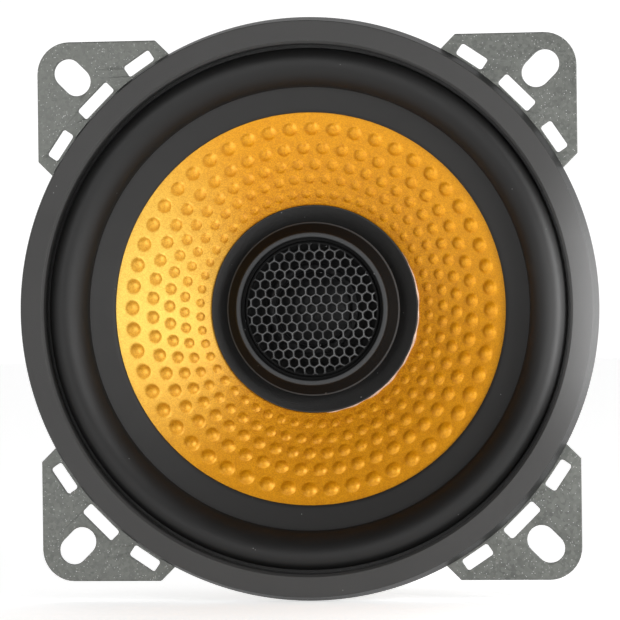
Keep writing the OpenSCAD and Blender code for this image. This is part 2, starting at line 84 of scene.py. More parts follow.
# ---- Light --------------------------------------------------------------------------------------
# A large soft key stands to the right of the front, a fill faces the speaker, and a strip stands
# close to its right edge. The room is white behind the speaker and level with it at its sides, and
# dim in front, so that the black parts stay dark.
def soft_light(name, place, aim, size, power):
    """A square area light of that size, its centre at place and its face turned to aim, in metres."""
    data = bpy.data.lights.new(name, "AREA")
    data.shape = "RECTANGLE"
    data.size, data.size_y = size
    data.energy = power
    lamp = bpy.data.objects.new(name, data)
    bpy.context.collection.objects.link(lamp)
    lamp.location = place
    lamp.rotation_mode = "QUATERNION"
    lamp.rotation_quaternion = (Vector(aim) - Vector(place)).to_track_quat("-Z", "Y")
    return lamp


soft_light("key_light", (0.62, -0.66, 0.10), (0, 0, 0), (0.42, 0.60), 6.4)
soft_light("fill_light", (-0.30, -1.0, 0.06), (0, 0, 0), (0.40, 0.46), 3.0)
strip = soft_light("strip_light", (0.080, -0.042, -0.004), (0.040, 0.0, -0.004), (0.006, 0.050), 0.021)
strip.visible_camera = False

room = bpy.data.worlds.new("room")
bpy.context.scene.world = room
room.use_nodes = True
sky = room.node_tree.nodes["Background"]
sky.inputs["Color"].default_value = (1.0, 1.0, 1.0, 1.0)
direction = room.node_tree.nodes.new("ShaderNodeTexCoord")
split = room.node_tree.nodes.new("ShaderNodeSeparateXYZ")
height = room.node_tree.nodes.new("ShaderNodeMath")
height.operation = "ABSOLUTE"
room.node_tree.links.new(direction.outputs["Generated"], split.inputs[0])
room.node_tree.links.new(split.outputs["Z"], height.inputs[0])


def room_fade(source, low, high, start, end):
    """Strength of the room's light: start where source is low, end where it is high, a ramp between."""
    fade = room.node_tree.nodes.new("ShaderNodeMapRange")
    for socket, value in (("From Min", low), ("From Max", high), ("To Min", start), ("To Max", end)):
        fade.inputs[socket].default_value = value
    room.node_tree.links.new(source, fade.inputs["Value"])
    return fade.outputs[0]


def room_join(operation, first, second):
    """Two strengths taken together by one Math node."""
    joined = room.node_tree.nodes.new("ShaderNodeMath")
    joined.operation = operation
    room.node_tree.links.new(first, joined.inputs[0])
    room.node_tree.links.new(second, joined.inputs[1])
    return joined.outputs[0]


behind = room_fade(split.outputs["Y"], 0.0, 0.5, 0.05, 1.1)
sides = room_join("MULTIPLY", room_fade(split.outputs["Y"], -0.30, -0.14, 0.0, 1.1),
    room_fade(height.outputs[0], 0.12, 0.24, 1.0, 0.0))
room.node_tree.links.new(room_join("MAXIMUM", behind, sides), sky.inputs["Strength"])

# The floor is a plain pale sheet, level with the lowest point of the speaker.
floor_half = 3.0
floor_z = float(cad_box[0][2])
floor_mesh = bpy.data.meshes.new("floor")
floor_mesh.from_pydata([(-floor_half, -floor_half, floor_z), (floor_half, -floor_half, floor_z),
    (floor_half, floor_half, floor_z), (-floor_half, floor_half, floor_z)], [], [(0, 1, 2, 3)])
floor = bpy.data.objects.new("floor", floor_mesh)
bpy.context.collection.objects.link(floor)
floor_paint = bpy.data.materials.new("floor_paint")
floor_paint.use_nodes = True
for socket, value in (("Base Color", (0.93, 0.93, 0.93, 1)), ("Roughness", 0.9),
        ("Emission Color", (1, 1, 1, 1)), ("Emission Strength", 0.55)):
    floor_paint.node_tree.nodes["Principled BSDF"].inputs[socket].default_value = value
floor_mesh.materials.append(floor_paint)


# ---- Basket -------------------------------------------------------------------------------------
# One stamping of zinc-coated steel sheet: a flat flange with four slotted ears, a sloping wall with
# four windows, a ledge for the spider, a short cup, and a floor that is riveted to the top plate.
class Level:
    """A value in a shader, with arithmetic: each sign adds one Math node."""

    def __init__(self, finish, socket):
        self.finish = finish
        self.socket = socket

    def join(self, operation, *values):
        return self.finish.node("ShaderNodeMath", {"operation": operation}, dict(enumerate(values)))

    def __add__(self, other):
        return self.join("ADD", self, other)

    def __radd__(self, other):
        return self.join("ADD", other, self)

    def __sub__(self, other):
        return self.join("SUBTRACT", self, other)

    def __rsub__(self, other):
        return self.join("SUBTRACT", other, self)

    def __mul__(self, other):
        return self.join("MULTIPLY", self, other)

    def __rmul__(self, other):
        return self.join("MULTIPLY", other, self)

    def __pow__(self, other):
        return self.join("POWER", self, other)

    def __abs__(self):
        return self.join("ABSOLUTE", self)

    def sine(self):
        return self.join("SINE", self)


class Finish:
    """A surface finish being mixed: one material, whose Principled shader takes what changes."""

    def __init__(self, name, roughness=0.5, metallic=0.0, **fixed):
        self.material = bpy.data.materials.new(name)
        self.material.use_nodes = True
        self.tree = self.material.node_tree
        self.shader = self.tree.nodes["Principled BSDF"]
        self.shader.inputs["Roughness"].default_value = roughness
        self.shader.inputs["Metallic"].default_value = metallic
        for socket, value in fixed.items():
            self.shader.inputs[socket.replace("_", " ")].default_value = value

    def node(self, kind, settings=None, sockets=None, output=0):
        """Adds a node of this kind, makes its settings, then fills its sockets by name or number."""
        made = self.tree.nodes.new(kind)
        for name, value in (settings or {}).items():
            setattr(made, name, value)
        for name, value in (sockets or {}).items():
            if isinstance(value, Level):
                self.tree.links.new(value.socket, made.inputs[name])
            else:
                made.inputs[name].default_value = value
        return Level(self, made.outputs[output])

    def place(self):
        """The place of a point on the speaker, in millimetres."""
        point = self.node("ShaderNodeTexCoord", output="Object")
        return self.node("ShaderNodeVectorMath", {"operation": "SCALE"}, {0: point, "Scale": 1000.0})

    def parts(self, place):
        """Across, depth and up of a place, as three values."""
        split = self.node("ShaderNodeSeparateXYZ", {}, {0: place}).socket.node
        return [Level(self, part) for part in split.outputs]

    def noise(self, place, size, detail=2.0, roughness=0.5):
        """Soft blotches about size mm across, from 0 to 1."""
        return self.node("ShaderNodeTexNoise", {}, {"Vector": place, "Scale": 1 / size, "Detail": detail,
            "Roughness": roughness})

    def grains(self, place, size):
        """Cells about size mm across, each one value from 0 to 1."""
        cells = self.node("ShaderNodeTexVoronoi", {}, {"Vector": place, "Scale": 1 / size}, "Color")
        return self.node("ShaderNodeSeparateColor", {}, {0: cells})

    def between(self, value, low, high, start=0.0, end=1.0):
        """start where value is low or less, end where it is high or more, and a ramp between them."""
        return self.node("ShaderNodeMapRange", {}, {"Value": value, "From Min": low, "From Max": high,
            "To Min": start, "To Max": end})

    def blend(self, share, a, b):
        """Colour a where share is 0 and b where it is 1."""
        return self.node("ShaderNodeMix", {"data_type": "RGBA"}, {0: share, 6: a, 7: b}, 2)

    def radius(self, place):
        """Distance of a point from the speaker's axis, in millimetres."""
        across, _, up = self.parts(place)
        return (across * across + up * up) ** 0.5

    def specks(self, place, spacing, size):
        """1 on the middles of small scattered grains, one in each patch of that spacing, else 0."""
        near = self.node("ShaderNodeTexVoronoi", {}, {"Vector": place, "Scale": 1 / spacing})
        return self.between(near, size / spacing * 0.6, size / spacing, 1.0, 0.0)

    def painted_right_haze(self, place):
        """Painted haze of light: a pale share towards the right edge, strongest at mid height."""
        across, _, up = self.parts(place)
        side = self.between(across, 37, 53)
        return side * side * self.between(abs(up), 12, 30, 1.0, 0.0)

    def drive(self, **levels):
        """Feeds the shader's sockets, such as Base_Color, with what changes over the surface."""
        for socket, level in levels.items():
            self.tree.links.new(level.socket, self.shader.inputs[socket.replace("_", " ")])

    def relief(self, height, depth):
        """Raises the surface by height times depth mm, for the light only."""
        self.drive(Normal=self.node("ShaderNodeBump", {}, {"Height": height, "Distance": depth * MM,
            "Strength": 1.0}))


def grey(level, warmth=0.0):
    """A grey of that level, a little warmer or cooler."""
    return (level * (1 + warmth), level, level * (1 - warmth), 1)


def zinc_sheet():
    """Zinc-coated steel: grey metal with a fine spangle, soft clouds and tiny bright grains."""
    finish = Finish("zinc_sheet", roughness=0.42, metallic=0.85)
    place = finish.place()
    clouds = finish.noise(place, 9.0, 3.0)
    grain = finish.grains(place, 0.55)
    tone = finish.blend(finish.between(clouds * 0.6 + grain * 0.4, 0.2, 0.8),
        (0.100, 0.104, 0.097, 1), (0.175, 0.181, 0.168, 1))
    sparkle = finish.specks(place, 0.5, 0.085)
    finish.drive(Base_Color=finish.blend(sparkle, tone, grey(0.50)),
        Roughness=0.34 + 0.16 * clouds + 0.08 * grain)
    finish.relief(finish.noise(place, 0.35, 3.0), 0.02)
    return finish.material


def rounded(corners, radius, steps=4):
    """Points of an outline whose corners are arcs. A corner is (across, up) or (across, up, radius).
    Each arc's centre lies on the corner's bisector, radius / sin(half the angle) from the corner."""
    made = []
    for i, corner in enumerate(corners):
        here = np.array(corner[:2], float)
        size = corner[2] if len(corner) > 2 else radius
        back = np.array(corners[i - 1][:2], float) - here
        on = np.array(corners[(i + 1) % len(corners)][:2], float) - here
        u, v = back / np.linalg.norm(back), on / np.linalg.norm(on)
        half = math.acos(float(np.clip(u @ v, -1, 1))) / 2
        if size <= 0 or half > 1.55:
            made.append(here[None])
            continue
        size = min(size, 0.49 * min(np.linalg.norm(back), np.linalg.norm(on)) * math.tan(half))
        centre = here + (u + v) / np.linalg.norm(u + v) * size / math.sin(half)
        first, last = here + u * size / math.tan(half) - centre, here + v * size / math.tan(half) - centre
        turn = math.pi - 2 * half
        share = np.linspace(0, 1, steps + 1)[:, None]
        from_first, from_last = np.sin(turn * (1 - share)), np.sin(turn * share)
        made.append(centre + (first * from_first + last * from_last) / math.sin(turn))
    return np.concatenate(made)


def on_speaker(across, up, height):
    """Places drawn facing the front, in mm, turned to the speaker's frame, in metres."""
    return np.stack(np.broadcast_arrays(across, -np.asarray(height, float), up), -1) * MM


def face_outwards(mesh, merge=0.0):
    """Merges points nearer than merge metres, then turns the faces outwards."""
    work = bmesh.new()
    work.from_mesh(mesh)
    if merge:
        bmesh.ops.remove_doubles(work, verts=work.verts, dist=merge)
    bmesh.ops.recalc_face_normals(work, faces=work.faces)
    work.to_mesh(mesh)
    work.free()


def set_out(name, mesh):
    """An object that holds this mesh, put in the scene."""
    piece = bpy.data.objects.new(name, mesh)
    bpy.context.collection.objects.link(piece)
    return piece


def new_piece(name, points, faces, material, even=True):
    """A closed smooth mesh: doubles are merged, and faces are turned outwards. With even, large faces
    decide the light at their edges."""
    mesh = bpy.data.meshes.new(name)
    corners = [tuple(map(int, face)) for face in faces]
    mesh.from_pydata(np.asarray(points).reshape(-1, 3).tolist(), [], corners)
    face_outwards(mesh, 1e-7)
    mesh.shade_smooth()
    mesh.set_sharp_from_angle(angle=math.radians(42))
    mesh.materials.append(material)
    piece = set_out(name, mesh)
    if even:
        normals = piece.modifiers.new("even_light", "WEIGHTED_NORMAL")
        normals.keep_sharp = True
    return piece


def grid_faces(rows, columns, ring=True):
    """Quads of a grid whose every row closes on itself. In a ring, the last row meets the first."""
    index = np.arange(rows * columns).reshape(rows, columns)
    down = np.roll(index, -1, 0)
    quads = np.stack([index, np.roll(index, -1, 1), np.roll(down, -1, 1), down], -1)
    return (quads if ring else quads[:-1]).reshape(-1, 4)


def turned(name, outline, material, turns=256, even=True):
    """A closed outline of (radius, height) pairs carried once round the axis:
    across = radius cos(angle), up = radius sin(angle)."""
    radius, height = np.asarray(outline, float).T
    angle = np.linspace(0, 2 * math.pi, turns, endpoint=False)[:, None]
    points = on_speaker(radius * np.cos(angle), radius * np.sin(angle), height)
    return new_piece(name, points, grid_faces(turns, len(radius)), material, even)


def plate(name, outlines, low, high, edge, material):
    """A flat plate between two heights, with rounded edges: the first outline less the others."""
    drawing = bpy.data.curves.new(name, "CURVE")
    drawing.dimensions = "2D"
    drawing.fill_mode = "BOTH"
    drawing.extrude = (high - low) / 2 - edge
    drawing.bevel_depth = edge
    drawing.bevel_resolution = 1
    drawing.offset = -edge
    for outline in outlines:
        line = drawing.splines.new("POLY")
        line.points.add(len(outline) - 1)
        flat = np.zeros((len(outline), 4))
        flat[:, :2] = outline
        flat[:, 3] = 1
        line.points.foreach_set("co", flat.ravel())
        line.use_cyclic_u = True
    pattern = bpy.data.objects.new(name, drawing)
    mesh = bpy.data.meshes.new_from_object(pattern)
    bpy.data.objects.remove(pattern)
    flat = np.empty(len(mesh.vertices) * 3)
    mesh.vertices.foreach_get("co", flat)
    flat = flat.reshape(-1, 3)
    points = on_speaker(flat[:, 0], flat[:, 1], flat[:, 2] + (low + high) / 2)
    faces = [tuple(face.vertices) for face in mesh.polygons]
    return new_piece(name, points, faces, material)


def cut(piece, cutter):
    """Takes cutter out of piece's mesh for good, and throws cutter away."""
    blank = set_out("blank", piece.data)
    hole = blank.modifiers.new("hole", "BOOLEAN")
    hole.operation = "DIFFERENCE"
    hole.solver = "EXACT"
    hole.object = cutter
    drilled = blank.evaluated_get(bpy.context.evaluated_depsgraph_get())
    piece.data = bpy.data.meshes.new_from_object(drilled)
    bpy.data.objects.remove(blank)
    bpy.data.objects.remove(cutter)


def turned_outline(points, degrees):
    """Points turned about the centre, counterclockwise."""
    a = math.radians(degrees)
    return np.asarray(points) @ np.array([[math.cos(a), math.sin(a)], [-math.sin(a), math.cos(a)]])


flange_r = 50.4
throat_r = 46.0
ear_reach = 47.2
ear_start = 26.3
ear_corner_r = 5.6
slot_at = 41 * math.sqrt(2)
slot_w = 5.0
slot_l = 7.1
tear_r = 52.15
basket_zinc = zinc_sheet()


def flange_outline():
    """Round the flange: four arcs of its circle, and between them the ears with slanted shoulders."""
    reach = ear_start + ear_reach
    slant = (reach - math.sqrt(reach ** 2 - 2 * (ear_start ** 2 + ear_reach ** 2 - flange_r ** 2))) / 2
    low = [ear_reach - slant, ear_start - slant]
    start = math.atan2(low[1], low[0])
    arc = np.linspace(start - math.pi / 2 + 2 * (math.pi / 4 - start), start, 40)[:-1]
    rim = flange_r * np.stack([np.cos(arc), np.sin(arc)], 1)
    corner = rounded([low, (ear_reach, ear_start), (ear_reach, ear_reach, ear_corner_r),
        (ear_start, ear_reach), low[::-1]], 0.3, 10)
    inner = np.linalg.norm(corner, axis=1) > flange_r - 0.01
    quarter = np.concatenate([rim, corner[inner]])
    return np.concatenate([turned_outline(quarter, a) for a in (0, 90, 180, 270)])


def box_outline(length, width, radius, at):
    """A rounded oblong, long side across the radius, its centre that far from the axis."""
    x, y = width / 2, length / 2
    return rounded([(-x, -y), (x, -y), (x, y), (-x, y)], radius, 8) + np.array([at, 0])


def circle(radius, count=256):
    """Points round a circle."""
    a = np.linspace(0, 2 * math.pi, count, endpoint=False)
    return radius * np.stack([np.cos(a), np.sin(a)], 1)


ear_holes = []
for ear in (45, 135, 225, 315):
    ear_holes.append(turned_outline(box_outline(slot_w, slot_l, slot_w / 2 - 0.001, slot_at), ear))
    ear_holes.append(turned_outline(box_outline(7.2, 2.3, 0.5, tear_r), ear))
    for side in (-11, 11):
        ear_holes.append(turned_outline(box_outline(5.4, 2.2, 0.5, tear_r), ear + side))
flange = plate("basket_flange", [flange_outline(), circle(throat_r)] + ear_holes, 0, 1, 0.12, basket_zinc)
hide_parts("basket")
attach(flange, "chassis")

ledge_r = 30.6
shell = turned("basket_shell", rounded([
    (throat_r, 0.0, 0), (throat_r, 1.0, 0), (44.3, 1.0, 1.0), (ledge_r, -12.8, 0.8),
    (ledge_r, -14.0, 0.3), (25.6, -14.0, 0.8), (24.6, -21.0, 1.0), (14.0, -21.0, 0.1),
    (14.0, -22.0, 0.1), (25.5, -22.0, 1.6), (26.5, -15.0, 0.5), (31.6, -15.0, 0.9),
    (31.6, -13.2, 0.8), (44.9, 0.0, 1.6)], 0.2, 5), basket_zinc)


def window_cutter(side):
    """A prism along the radius, its section a rounded trapezium that narrows towards the motor."""
    outline = rounded([(-25, -1.8), (-15, -12.2), (15, -12.2), (25, -1.8)], 3, 8)
    depth = np.array([26.5, 52.0])[:, None]
    across, up = outline[:, 0], outline[:, 1]
    ring = np.stack(np.broadcast_arrays(depth, across[None], up[None]), -1).reshape(-1, 3)
    a = math.radians(side)
    points = on_speaker(ring[:, 0] * math.cos(a) - ring[:, 1] * math.sin(a),
        ring[:, 0] * math.sin(a) + ring[:, 1] * math.cos(a), ring[:, 2])
    n = len(outline)
    walls = [(i, (i + 1) % n, n + (i + 1) % n, n + i) for i in range(n)]
    faces = walls + [tuple(range(n)), tuple(range(2 * n - 1, n - 1, -1))]
    mesh = bpy.data.meshes.new("window")
    mesh.from_pydata(points.tolist(), [], faces)
    face_outwards(mesh)
    return set_out("window", mesh)


for side in (0, 90, 180, 270):
    cut(shell, window_cutter(side))
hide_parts("basket")
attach(shell, "chassis")

tab_outline = rounded([(-37.5, -5), (-31, -5), (-31, 5), (-37.5, 5)], 0.8)
tab = plate("terminal_tab", [tab_outline], -15, -14, 0.12, basket_zinc)
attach(tab, "chassis")


# ---- Motor --------------------------------------------------------------------------------------
# A ferrite ring between a bright zinc-plated top plate and a back plate that is one with the pole.
# The plates are turned, so that fine rings show on their faces; the ferrite is ground and dusty.
def plated_steel(name, tone=0.55):
    """Zinc-plated turned steel: bright grey with fine rings round the axis and faint cloudy stains."""
    finish = Finish(name, roughness=0.3, metallic=1.0)
    place = finish.place()
    ring = finish.radius(place)
    marks = finish.node("ShaderNodeTexNoise", {"noise_dimensions": "1D"}, {"W": ring, "Scale": 6.0,
        "Detail": 4.0, "Roughness": 0.7})
    clouds = finish.noise(place, 7.0, 4.0)
    stain = finish.between(clouds, 0.45, 0.8)
    finish.drive(Base_Color=finish.blend(stain, grey(tone, 0.01), grey(tone * 0.72, 0.06)),
        Roughness=0.2 + 0.16 * marks + 0.12 * clouds)
    finish.relief(marks * 0.7 + finish.noise(place, 0.4) * 0.3, 0.012)
    return finish.material


def ferrite():
    """Ground ferrite: near-black grey, matt, with pale dust and a few pits."""
    finish = Finish("ferrite", roughness=0.62)
    place = finish.place()
    dust = finish.noise(place, 2.5, 5.0, 0.7)
    pits = finish.specks(place, 2.2, 0.25)
    tone = finish.blend(finish.between(dust, 0.45, 0.75), grey(0.028, -0.04), grey(0.075, 0.02))
    finish.drive(Base_Color=finish.blend(pits, tone, grey(0.01)), Roughness=0.5 + 0.25 * dust)
    finish.relief(dust - pits, 0.05)
    return finish.material


motor_steel = plated_steel("motor_steel")
motor_z = -22.0
top_plate = turned("top_plate_turned", rounded([
    (13.45, motor_z), (13.45, -26), (29, -26, 0.3), (29, motor_z, 0.5)], 0.2), motor_steel)
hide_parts("top_plate")
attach(top_plate, "chassis")

magnet = turned("magnet_ring_ground", rounded([
    (16, -26), (16, -36), (32, -36, 0.9), (32, -26, 0.9)], 0.3), ferrite())
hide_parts("magnet_ring")
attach(magnet, "chassis")

yoke = turned("pole_yoke_turned", rounded([
    (3.2, motor_z, 0.2), (11.85, motor_z, 0.5), (11.85, -36, 0.2), (29, -36, 0.3), (29, -40, 1.2),
    (3.2, -40, 0.2)], 0.2), motor_steel)
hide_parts("pole_yoke")
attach(yoke, "chassis")


def coat(material, *node_names):
    """Gives pieces of the frame, which keep their own meshes, this finish."""
    for node_name in node_names:
        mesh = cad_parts[node_name].data
        mesh.materials.clear()
        mesh.materials.append(material)


coat(plated_steel("small_steel", 0.62), "plate_rivets", "tweeter_post", "post_washer", "post_nut",
    "tweeter_cup", "tweeter_pole_washer", "tweeter_magnet")


# ---- Spider -------------------------------------------------------------------------------------
# A disc of resin-treated cotton, pressed into round waves, glued to the basket's ledge and to the
# former. Its weave shows as a fine cross grain.
def treated_cloth():
    """Amber cloth: a plain weave 0.45 mm across, with painted shade in its hollows."""
    finish = Finish("treated_cloth", roughness=0.85)
    across, _, up = finish.parts(finish.place())
    wave = 2 * math.pi / 0.45
    weave = (across * wave).sine() * (up * wave).sine()
    # Painted shade: darker in the hollows of the weave.
    tone = finish.blend(finish.between(weave, -1, 1), (0.30, 0.15, 0.035, 1), (0.56, 0.34, 0.10, 1))
    finish.drive(Base_Color=tone)
    finish.relief(weave, 0.05)
    return finish.material


spider_at = np.linspace(14, 25, 90)
spider_mid = -13.65 + 0.75 * np.sin(2 * math.pi * 5 * (spider_at - 14) / 11)
spider = turned("spider_cloth", np.concatenate([
    [(12.5, -13.85), (12.5, -13.45)], np.stack([spider_at, spider_mid + 0.2], 1),
    [(25.6, -13.58), (30.4, -13.58), (30.4, -13.98), (25.6, -13.98)],
    np.stack([spider_at, spider_mid - 0.2], 1)[::-1]]), treated_cloth(), 192, even=False)
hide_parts("spider")


def flex(piece):
    """Bakes a round piece's placement into its mesh and reads its points in millimetres; nothing
    moves the points, so the piece does not bend with the cone."""
    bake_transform(piece)
    flat = np.empty(len(piece.data.vertices) * 3, np.float32)
    piece.data.vertices.foreach_get("co", flat)
    flat = flat.reshape(-1, 3) / MM


flex(spider)


# ---- Cone ---------------------------------------------------------------------------------------
# Pressed fibre, lacquered amber with fine metal flake. Five rings of small round bumps are embossed
# in it, each ring stepped round from the one outside it. It narrows to a neck glued to the former.
def amber_lacquer():
    """Amber lacquer with a fine bright flake, slightly mottled, with painted shade that deepens the tone
    towards the pod and a painted sheen on the left, where it is paler and yellower."""
    finish = Finish("amber_lacquer", roughness=0.42, metallic=0.25, Specular_IOR_Level=1.0,
        Specular_Tint=(0.85, 1.0, 0.32, 1), Coat_Weight=0.12, Coat_Roughness=0.35)
    place = finish.place()
    ring = finish.radius(place)
    glint = finish.grains(place, 0.16)
    mottle = finish.noise(place, 1.6, 4.0, 0.6)
    # Painted shade: the amber darkens towards the pod.
    depth = finish.between(ring, 18, 34)
    base = finish.blend(depth, (0.46, 0.132, 0.001, 1), (0.59, 0.206, 0.001, 1))
    lit = finish.between(glint * 0.55 + mottle * 0.45, 0.25, 0.85)
    light = finish.blend(lit, base, (0.76, 0.315, 0.002, 1))
    across, _, up = finish.parts(place)
    # Painted sheen: a paler, yellower patch on the left wall, weaker over the bumps.
    painted_left_sheen = finish.between(across, -10, -26) * finish.between(abs(up - 5), 5, 32, 1.0, 0.0)
    bump = finish.node("ShaderNodeAttribute", {"attribute_name": "bump"}, {}, "Fac")
    painted_left_sheen = painted_left_sheen * (0.9 - 0.55 * bump)
    pale = finish.blend(finish.between(glint * 0.6 + mottle * 0.4, 0.25, 0.8), (0.70, 0.38, 0.055, 1),
        (0.86, 0.56, 0.105, 1))
    light = finish.blend(painted_left_sheen, light, pale)
    finish.drive(Base_Color=light, Roughness=0.34 + 0.18 * glint)
    finish.relief(glint * 0.5 + mottle * 0.5, 0.03)
    return finish.material


def bare_pulp():
    """The cone's back: pressed fibre dyed amber, matt, with short darker hairs."""
    finish = Finish("bare_pulp", roughness=0.85)
    place = finish.place()
    hair = finish.noise(place, 0.6, 5.0, 0.7)
    patch = finish.noise(place, 4.0, 2.0)
    finish.drive(Base_Color=finish.blend(hair * 0.6 + patch * 0.4, (0.20, 0.085, 0.014, 1),
        (0.42, 0.20, 0.035, 1)), Roughness=0.75 + 0.15 * hair)
    finish.relief(hair, 0.08)
    return finish.material


cone_r = 38.4
cone_t = 0.55
bump_rings = ((31.6, 2.5, 0.86), (28.2, 2.25, 0.34), (25.4, 2.05, 0.75), (22.9, 1.8, 0.12),
    (20.3, 1.55, 0.47))
bumps_per_ring = 52
steps_per_bump = 14
bump_height = 0.52
edge_height = -1.15
cone_fall = 0.364
cone_curve = 0.00286


def cone_height(radius):
    """Height of the cone's front: that of its edge, less cone_fall times the way in and cone_curve
    times the square of the way in."""
    inward = cone_r - radius
    return edge_height - cone_fall * inward - cone_curve * inward ** 2


def cone_slope(radius):
    """Fall of the cone's front for each mm inwards: cone_fall plus twice cone_curve times the way in."""
    return cone_fall + 2 * cone_curve * (cone_r - radius)


def bump_rise(radius, angle):
    """Rise of the nearest bump: height * (1 - (distance / half width)^2), eased at its foot."""
    rise = np.zeros(np.broadcast(radius, angle).shape)
    slope = cone_slope(radius)
    for at, width, step in bump_rings:
        pitch = 2 * math.pi / bumps_per_ring
        turn = (angle / pitch - step + 0.5) % 1 - 0.5
        across = turn * pitch * at
        along = (radius - at) * np.sqrt(1 + slope ** 2)
        q = np.hypot(across, along) / (width / 2)
        cap = np.clip(1 - q ** 2, 0, None)
        rise = np.maximum(rise, bump_height * (width / 2.5) ** 2 * cap ** 0.75)
    return rise


turns = bumps_per_ring * steps_per_bump
cone_angle = np.linspace(0, 2 * math.pi, turns, endpoint=False)[:, None]
front_r = np.concatenate([[cone_r, 36.2], np.linspace(34.4, 33.2, 4), np.linspace(33.0, 19.2, 96),
    [17, 15, 13.1]])
slope = cone_slope(front_r)
rise = bump_rise(front_r[None], cone_angle)
lean = np.sqrt(1 + slope ** 2)
front_radius = front_r - rise * slope / lean
front_height = cone_height(front_r) + rise / lean
back_r = np.linspace(13.1, cone_r, 9)
loop = np.array([(12.5, -12.45), (12.5, -13.3), (13.0, -13.3)])
rim = np.ones((turns, 1))
cone_radius = np.concatenate([front_radius, rim * loop[:, 0], rim * back_r], 1)
cone_h = np.concatenate([front_height, rim * loop[:, 1], rim * (cone_height(back_r) - cone_t)], 1)
cone = new_piece("cone_embossed",
    on_speaker(cone_radius * np.cos(cone_angle), cone_radius * np.sin(cone_angle), cone_h),
    grid_faces(turns, cone_radius.shape[1]), amber_lacquer(), even=False)
cone.data.materials.append(bare_pulp())
on_bump = np.zeros(cone_radius.shape, np.float32)
on_bump[:, :len(front_r)] = rise > 0.01
cone.data.attributes.new("bump", "FLOAT", "POINT").data.foreach_set("value", on_bump.ravel())
at_back = np.arange(cone_radius.shape[1]) >= len(front_r) - 1
cone.data.polygons.foreach_set("material_index", np.tile(at_back, turns).astype(np.int32))
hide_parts("cone")
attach(cone, "cone_assembly")


# ---- Coil, former, seal and eyelets -------------------------------------------------------------
# Under the cone: a varnished paper tube wound with enamelled copper, a ring that keeps dust from
# the gap, and two brass eyelets through the cone for its leads.
def copper_winding():
    """Enamelled copper wire wound round the axis, turns 0.22 mm apart, glossy and red-brown, with
    painted shade in the grooves between the turns.
    """
    finish = Finish("copper_winding", roughness=0.25, metallic=0.9)
    _, depth, _ = finish.parts(finish.place())
    turn = (depth * (2 * math.pi / 0.22)).sine()
    # Painted shade: darker in the grooves between the turns, brighter on their crests.
    finish.drive(Base_Color=finish.blend(finish.between(turn, -1, 1), (0.20, 0.06, 0.02, 1),
        (0.62, 0.25, 0.09, 1)))
    finish.relief(turn, 0.04)
    return finish.material


def varnished_paper():
    """Brown kraft paper under varnish, with soft streaks."""
    finish = Finish("varnished_paper", roughness=0.5)
    place = finish.place()
    streak = finish.noise(place, 1.5, 5.0, 0.65)
    finish.drive(Base_Color=finish.blend(streak, (0.24, 0.12, 0.035, 1), (0.48, 0.28, 0.09, 1)),
        Roughness=0.35 + 0.3 * streak)
    return finish.material


def brass():
    """Brass, slightly dulled in patches."""
    finish = Finish("eyelet_brass", roughness=0.35, metallic=1.0)
    dull = finish.noise(finish.place(), 1.2, 4.0)
    finish.drive(Base_Color=finish.blend(dull, (0.72, 0.48, 0.16, 1), (0.45, 0.29, 0.11, 1)),
        Roughness=0.25 + 0.3 * dull)
    return finish.material


def black_felt():
    """Matt black fibre: short hairs in all directions, slightly grey where they catch the light."""
    finish = Finish("black_felt", roughness=0.6, Specular_IOR_Level=0.6)
    place = finish.place()
    hair = finish.noise(place, 0.35, 5.0, 0.75)
    patch = finish.noise(place, 5.0, 3.0)
    fibre = finish.blend(hair * 0.6 + patch * 0.4, grey(0.002), grey(0.011))
    finish.drive(Base_Color=finish.blend(finish.specks(place, 2.4, 0.12) * 0.6, fibre, grey(0.4)),
        Roughness=0.5 + 0.2 * hair)
    finish.relief(hair, 0.09)
    return finish.material


collar_black = black_felt()
coat(copper_winding(), "voice_coil", "tweeter_coil")
coat(varnished_paper(), "coil_former")
coat(brass(), "lead_eyelets")
coat(collar_black, "dust_seal")


# ---- Collar -------------------------------------------------------------------------------------
# A soft black ring glued over the inner part of the cone, sloping down under the tweeter pod. A
# little pale glue has crept out along its lower right edge.
collar = turned("cone_collar_felt", rounded([
    (18.35, -8.95, 0.25), (18.35, -9.58, 0), (16.5, -10.41, 0), (14.9, -11.28, 0), (13.3, -12.06, 0),
    (13.3, -11.94, 0), (14.9, -11.12, 0)], 0.1, 5),
    collar_black)
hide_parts("cone_collar")
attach(collar, "cone_assembly")


def glue():
    """Dried pale glue, slightly pink and translucent, with a wet shine."""
    finish = Finish("pale_glue", roughness=0.3, Coat_Weight=0.4, Coat_Roughness=0.2)
    blot = finish.noise(finish.place(), 0.8, 3.0)
    finish.drive(Base_Color=finish.blend(blot, (0.42, 0.22, 0.13, 1), (0.66, 0.50, 0.40, 1)))
    return finish.material


def glue_line():
    """A bead along an arc: a small circle whose size swells and fades with soft waves on the way."""
    stations, sides = 160, 10
    line_r, line_height, bead_r = 18.4, -9.4, 0.34
    share = np.linspace(0, 1, stations)[:, None]
    angle = np.radians(-84 + 116 * share)
    swell = np.sin(math.pi * share) ** 0.5 * (0.62 + 0.38 * np.sin(share * 41) * np.sin(share * 17 + 1))
    size = bead_r * np.clip(swell, 0.12, 1)
    turn = np.linspace(0, 2 * math.pi, sides, endpoint=False)[None]
    r = line_r + 0.05 * np.sin(share * 60) + size * np.cos(turn)
    points = on_speaker(r * np.cos(angle), r * np.sin(angle), line_height + size * np.sin(turn))
    return new_piece("collar_glue", points, grid_faces(stations, sides, ring=False), glue(), even=False)


creep = glue_line()
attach(creep, "cone_assembly")
